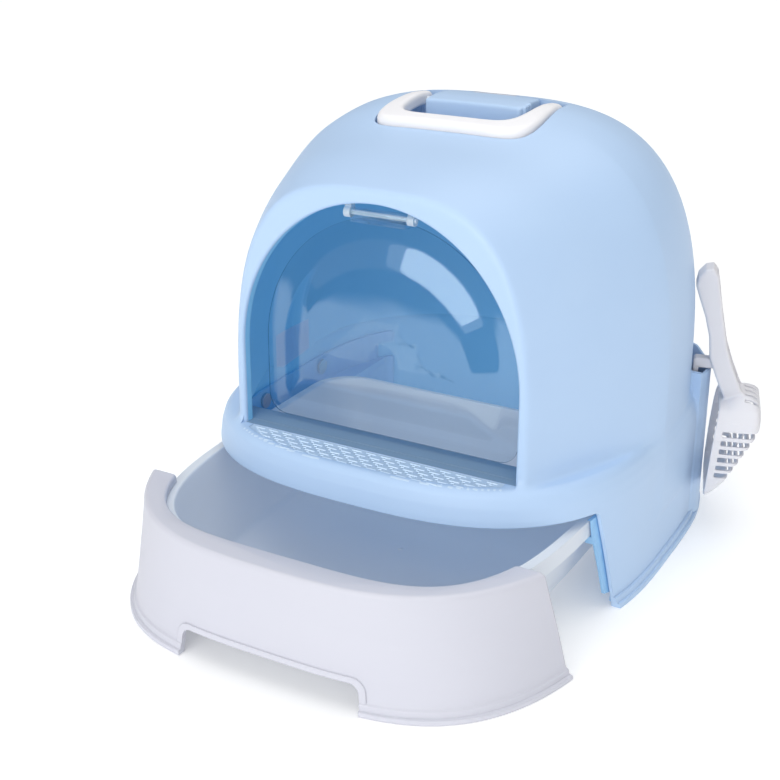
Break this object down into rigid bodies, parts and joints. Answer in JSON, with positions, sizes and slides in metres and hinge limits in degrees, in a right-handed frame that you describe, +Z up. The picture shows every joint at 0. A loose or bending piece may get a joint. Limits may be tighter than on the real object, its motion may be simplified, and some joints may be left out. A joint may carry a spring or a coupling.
{
  "type": "drawer litter box",
  "caption": "Domed litter box with an arched entrance and swinging flap, a pull-out tray drawer, a folding carry handle, a filter lid and a hung scoop.",
  "frame": {"origin": "centre of the hood's foot ring on the floor", "axes": "+X to the right seen from the entrance, -Y out of the entrance, +Z up"},
  "size_m": [0.4867, 0.5768, 0.413],
  "materials": {
    "blue_plastic": "satin",
    "blue_plastic_inner": "satin",
    "screw_steel": "plated",
    "clear_plastic": "clear",
    "pin_plastic": "smooth",
    "white_plastic": "satin",
    "carbon_pad": "felted",
    "tray_plastic": "satin"
  },
  "bodies": {
    "hood": {"hood_shell": "blue_plastic", "drawer_guide_left": "blue_plastic_inner", "drawer_guide_right": "blue_plastic_inner", "guide_screws": "screw_steel", "hinge_clip_left": "blue_plastic", "hinge_clip_right": "blue_plastic", "handle_pins": "pin_plastic", "filter_cup": "white_plastic", "filter_pad": "carbon_pad"},
    "flap": {"flap_panel": "clear_plastic", "flap_pin": "pin_plastic"},
    "handle": {"carry_handle": "white_plastic"},
    "filter_cover": {"filter_lid": "blue_plastic", "filter_latch": "white_plastic"},
    "drawer": {"drawer_front": "white_plastic", "fascia_screws": "screw_steel", "litter_tray": "tray_plastic"},
    "scoop": {"scoop": "white_plastic"}
  },
  "joints": [
    {"name": "drawer_slide", "type": "slide", "parent": "hood", "child": "drawer", "axis": [0, -1, 0], "range_m": [-0.113, 0.11]},
    {"name": "flap_hinge", "type": "hinge", "parent": "hood", "child": "flap", "pos_m": [0, -0.226, 0.345], "axis": [1, 0, 0], "range_deg": [-75, 70]},
    {"name": "handle_hinge", "type": "hinge", "parent": "hood", "child": "handle", "pos_m": [0, -0.03, 0.40417], "axis": [-1, 0, 0], "range_deg": [0, 90]},
    {"name": "filter_lid_lift", "type": "slide", "parent": "hood", "child": "filter_cover", "axis": [0, 0, 1], "range_m": [0, 0.04]},
    {"name": "scoop_lift", "type": "slide", "parent": "hood", "child": "scoop", "axis": [0, 0, 1], "range_m": [0, 0.06]}
  ]
}
